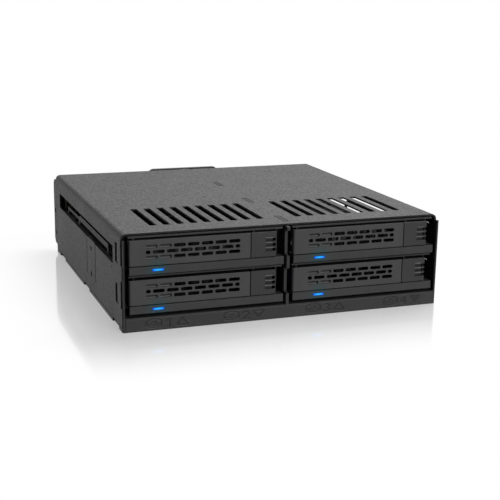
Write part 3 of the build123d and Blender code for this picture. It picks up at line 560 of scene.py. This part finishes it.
def wound_spring(node):
    """A wound wire round its pin, with one straight leg that runs back from the lowest turn.

    Turn point = middle + coil radius * (cos t, sin t), with the height rising evenly from the
    bottom of the node's box to its top over all the turns.
    """
    low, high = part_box(node)
    wire = 0.2 * MM
    radius = (high.x - low.x) / 2 - wire
    middle_x = (high.x + low.x) / 2
    middle_y = low.y + (high.x - low.x) / 2
    turns = 8
    t = np.linspace(math.pi, math.pi + turns * math.tau, turns * 24 + 1)
    rise = np.linspace(low.z + wire, high.z - wire, len(t))
    coil = np.stack([middle_x + radius * np.cos(t), middle_y + radius * np.sin(t), rise], axis=1)
    leg_points = 6
    leg = np.linspace(high.y - wire, middle_y + radius * 0.2, leg_points)
    start_leg = np.stack([np.full(leg_points, coil[0, 0]), leg, np.full(leg_points, coil[0, 2])], axis=1)
    return tube(np.concatenate([start_leg, coil]), wire, sides=8)


def make_springs():
    for kind in ("lever", "latch"):
        for tray in TRAYS:
            node = f"{kind}_spring_{tray}"
            points, faces = wound_spring(node)
            new_piece(f"{kind}_wound_spring_{tray}", points, faces, BODY_OF[node], SPRING,
                      node=node)


# Sprung contacts of the sockets and the ports


def contact_row(middle, count, depth, bow):
    """Points and faces of a row of contacts that run along Y from a point.

    Middle line of a contact = start + (place in the row, t * depth, bow * sin(pi * t)), with an
    oblong section whose width narrows to two thirds at the tip.
    """
    pitch = 1.27 * MM
    half, thick = 0.3 * MM, 0.08 * MM
    t = np.linspace(0, 1, 14)
    rise = bow * np.sin(math.pi * t)
    taper = 1 - t / 3
    corners = ((-half, 0.0), (half, 0.0), (half, thick), (-half, thick))
    points, faces = [], []
    for step in range(count):
        left = middle[0] + (step - (count - 1) / 2) * pitch
        ring = [
            np.stack([left + a * taper, middle[1] + t * depth, middle[2] + rise + b], axis=1)
            for a, b in corners
        ]
        start = len(points) * len(t) * len(corners)
        points.append(np.stack(ring, axis=1).reshape(-1, 3))
        faces += (grid_faces(len(t), len(corners), loop_columns=True) + start).tolist()
        last = start + (len(t) - 1) * len(corners)
        faces += [[start + 3, start + 2, start + 1, start], [last, last + 1, last + 2, last + 3]]
    return np.concatenate(points), faces


def make_contacts():
    for mount in frame["record"]["mounts"]:
        x, y, z = mount["pos_m"]
        name = mount["name"]
        if name.startswith("drive_socket"):
            for shift, count in ((-13.1 * MM, 7), (8.4 * MM, 15)):
                start = (x + shift, y + 0.8 * MM, z + 1.0 * MM)
                points, faces = contact_row(start, count, 4.6 * MM, -0.4 * MM)
                new_piece(f"contacts_{name}_{count}", points, faces, "cage", GOLD)
        elif name.startswith(("data_port", "power_port")):
            count = 7 if name.startswith("data") else 15
            points, faces = contact_row((x, y - 1.4 * MM, z + 1.2 * MM), count, -6.6 * MM, 0.25 * MM)
            new_piece(f"contacts_{name}", points, faces, "cage", GOLD)


# Signs sunk into the bar under the trays: a disc, a number and an arrow for each tray

STROKE = 0.44 * MM
FACE_STAND = 0.22 * MM

# For each sign: its left end in millimetres, its number, whether its arrow points up, and whether
# the arrow is filled
SIGNS = (
    (-63.2, "1", True, False),
    (-29.0, "2", False, False),
    (9.0, "3", True, False),
    (46.8, "4", False, True),
)

# Numbers as strokes on a grid that is 2 wide and 4 high
NUMBERS = {
    "1": [[(0.3, 3.1), (1.2, 4.0), (1.2, 0.0)]],
    "2": [[(0.0, 3.2), (0.4, 3.9), (1.5, 3.9), (2.0, 3.1), (1.6, 2.2), (0.0, 0.0), (2.0, 0.0)]],
    "3": [[(0.0, 3.6), (1.0, 4.0), (2.0, 3.1), (1.0, 2.2), (2.0, 1.1), (1.0, 0.0), (0.0, 0.5)]],
    "4": [[(1.5, 0.0), (1.5, 4.0), (0.0, 1.2), (2.0, 1.2)]],
}


def distance_to_strokes(x, z, strokes):
    """Distance from each point to the nearest straight run of any stroke."""
    nearest = np.full(x.shape, 1.0)
    for stroke in strokes:
        for (ax, az), (bx, bz) in zip(stroke[:-1], stroke[1:]):
            run = np.array([bx - ax, bz - az])
            share = ((x - ax) * run[0] + (z - az) * run[1]) / (run @ run)
            share = np.clip(share, 0, 1)
            gap = np.hypot(x - ax - share * run[0], z - az - share * run[1])
            nearest = np.minimum(nearest, gap)
    return nearest


def oval(middle_x, middle_z, half_width, half_height, start=0.0, end=math.tau, runs=40):
    """Points of an ellipse, or of an arc of it, as one stroke."""
    angle = np.linspace(start, end, runs + 1)
    xs = middle_x + half_width * np.cos(angle)
    zs = middle_z + half_height * np.sin(angle)
    return list(zip(xs, zs))


def sign_strokes(left, number, points_up, filled):
    """The strokes of one tray's sign, from its left end: a round drive, a number, an arrow."""
    disc_half = 3.35 * MM
    disc_x = left + disc_half
    disc_z = 3.6 * MM
    thickness = 0.85 * MM
    strokes = [
        oval(disc_x, disc_z, disc_half, 1.35 * MM),
        oval(disc_x, disc_z, 0.9 * MM, 0.4 * MM, runs=16),
        oval(disc_x, disc_z - thickness, disc_half, 1.35 * MM, math.pi, math.tau, runs=24),
    ]
    number_left = left + 8.4 * MM
    number_foot = 1.3 * MM
    for stroke in NUMBERS[number]:
        strokes.append([(number_left + a * 1.5 * MM, number_foot + b * 0.8 * MM) for a, b in stroke])
    arrow_left = left + 13.3 * MM
    arrow_width = 4.8 * MM
    arrow_base, arrow_tip = (1.5 * MM, 4.6 * MM) if points_up else (4.6 * MM, 1.5 * MM)
    for share in np.arange(1.0, 0.05, -0.22) if filled else (1.0,):
        half = arrow_width / 2 * share
        middle = arrow_left + arrow_width / 2
        centre = arrow_base + (arrow_tip - arrow_base) / 3
        base = centre + (arrow_base - centre) * share
        tip = centre + (arrow_tip - centre) * share
        strokes.append([(middle - half, base), (middle, tip), (middle + half, base), (middle - half, base)])
    return strokes


def make_bar_face():
    """The front skin of the bar with the four signs sunk into it.

    Stand off the bar = skin thickness * (1 - smooth fall of the distance to the nearest stroke),
    on a grid across the bar, and it comes down to the bar round its rim as a quarter circle.
    """
    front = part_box("front_bezel")[0].y
    strokes = []
    for left, number, points_up, filled in SIGNS:
        strokes += sign_strokes(left * MM, number, points_up, filled)
    half = 71.8 * MM
    columns, rows = 1300, 52
    across = np.linspace(-half, half, columns)
    height = np.linspace(0.1 * MM, 5.65 * MM, rows)
    x, z = np.meshgrid(across, height, indexing="ij")
    away = distance_to_strokes(x, z, strokes)
    fall = np.clip((STROKE - away) / (STROKE * 0.6), 0, 1)
    sunk = fall * fall * (3 - 2 * fall)
    rim = np.minimum.reduce([x + half, half - x, z - height[0], height[-1] - z])
    turned = np.clip(rim / (0.2 * MM), 0, 1) ** 0.5
    y = front - FACE_STAND * (1 - sunk * 0.95) * turned + 0.01 * MM * (1 - turned)
    points = np.stack([x, y, z], axis=-1).reshape(-1, 3)
    faces = grid_faces(columns, rows).tolist()
    new_piece("bar_face", points, faces, "cage", SIGN)


dress_nodes()
make_springs()
make_contacts()
make_bar_face()


# Floor, light and camera


def seen_rays(graph):
    """1 for rays from the camera, from gloss and through clear pieces, and 0 for plain light."""
    camera = graph.add("LightPath", output="Is Camera Ray")
    outputs = camera.socket.node.outputs
    glossy = Wire(graph, outputs["Is Glossy Ray"])
    through = Wire(graph, outputs["Is Transmission Ray"])
    return camera.most(glossy).most(through)


def make_floor():
    """Pale studio floor: white to the camera, with a soft mirror image that fades outwards.

    To plain light it is a darker matt grey, which throws less light up on the side walls.
    """
    reach = 3.0
    steps = 25
    x, y = np.meshgrid(np.linspace(-reach, reach, steps), np.linspace(-reach, reach, steps), indexing="ij")
    points = np.stack([x, y, np.full_like(x, -0.05 * MM)], axis=-1).reshape(-1, 3)
    mesh = bpy.data.meshes.new("floor")
    mesh.from_pydata(points.tolist(), [], grid_faces(steps, steps)[:, ::-1].tolist())
    floor = bpy.data.objects.new("floor", mesh)
    bpy.context.scene.collection.objects.link(floor)
    material = bpy.data.materials.new("pale_floor")
    material.use_nodes = True
    tree = material.node_tree
    tree.nodes.clear()
    graph = Graph(tree)
    place = graph.add("TexCoord", output="Object")
    across, along = graph.parts(place)[:2]
    low, high = cad_box
    beside = (abs(across - (low.x + high.x) / 2) - (high.x - low.x) / 2).most(0)
    beyond = (abs(along - (low.y + high.y) / 2) - (high.y - low.y) / 2).most(0)
    away = (beside ** 2 + beyond ** 2) ** 0.5
    near = 1 - graph.step(away, 0.0, 60 * MM)
    pale = (0.93, 0.93, 0.93)
    white = graph.add("Emission", {"Color": (1.0, 1.0, 1.0), "Strength": 1.0})
    matt = graph.add("BsdfDiffuse", {"Color": pale})
    bounce = graph.add("BsdfDiffuse", {"Color": (0.34, 0.34, 0.34)})
    mirror = graph.add("BsdfGlossy", {"Color": (1.0, 1.0, 1.0), "Roughness": 0.09})
    shadowed = graph.add("MixShader", {0: 1 - near * 0.35, 1: matt, 2: white})
    seen = graph.add("MixShader", {0: near * 0.36, 1: shadowed, 2: mirror})
    look = graph.add("MixShader", {0: seen_rays(graph), 1: bounce, 2: seen})
    graph.add("OutputMaterial", {"Surface": look}, output=None)
    mesh.materials.append(material)


def make_world():
    """A white surround for the eye and for gloss, and a dimmer one for plain light."""
    world = bpy.data.worlds.new("studio")
    bpy.context.scene.world = world
    world.use_nodes = True
    tree = world.node_tree
    tree.nodes.clear()
    graph = Graph(tree)
    seen = seen_rays(graph)
    surround = 0.08
    sky = graph.add("Background", {"Color": (1.0, 1.0, 1.0), "Strength": surround + seen * (1 - surround)})
    graph.add("OutputWorld", {"Surface": sky}, output=None)


def make_lamp(name, place, target, width, height, power):
    """A soft rectangular lamp that faces a point."""
    data = bpy.data.lights.new(name, "AREA")
    data.shape = "RECTANGLE"
    data.size = width
    data.size_y = height
    data.energy = power
    lamp = bpy.data.objects.new(name, data)
    lamp.location = place
    lamp.rotation_euler = (Vector(target) - Vector(place)).to_track_quat("-Z", "Y").to_euler()
    bpy.context.scene.collection.objects.link(lamp)


def make_camera():
    """The camera of the photograph, from its place, its heading, its dip and its roll."""
    azimuth = math.radians(20.388)
    dip = math.radians(13.84)
    roll = math.radians(0.881)
    ahead = Vector((math.sin(azimuth) * math.cos(dip), math.cos(azimuth) * math.cos(dip), -math.sin(dip)))
    level = Vector((math.cos(azimuth), -math.sin(azimuth), 0))
    upright = level.cross(ahead)
    right = math.cos(roll) * level + math.sin(roll) * upright
    up = math.cos(roll) * upright - math.sin(roll) * level
    data = bpy.data.cameras.new("camera")
    data.sensor_width = 36
    data.lens = 77.18
    camera = bpy.data.objects.new("camera", data)
    turn = Matrix((right, up, -ahead)).transposed().to_4x4()
    camera.matrix_world = Matrix.Translation((-170.97 * MM, -486.64 * MM, 140.00 * MM)) @ turn
    bpy.context.scene.collection.objects.link(camera)
    bpy.context.scene.camera = camera


make_floor()
make_world()
middle = (cad_box[0] + cad_box[1]) / 2
make_lamp("top_softbox", (0.33, 0.25, 0.75), middle, 0.9, 0.7, 9.7)
make_lamp("front_softbox", (0.27, -0.9, 0.4), middle, 0.7, 0.5, 6.5)
make_camera()
bpy.context.scene.view_settings.view_transform = "Standard"
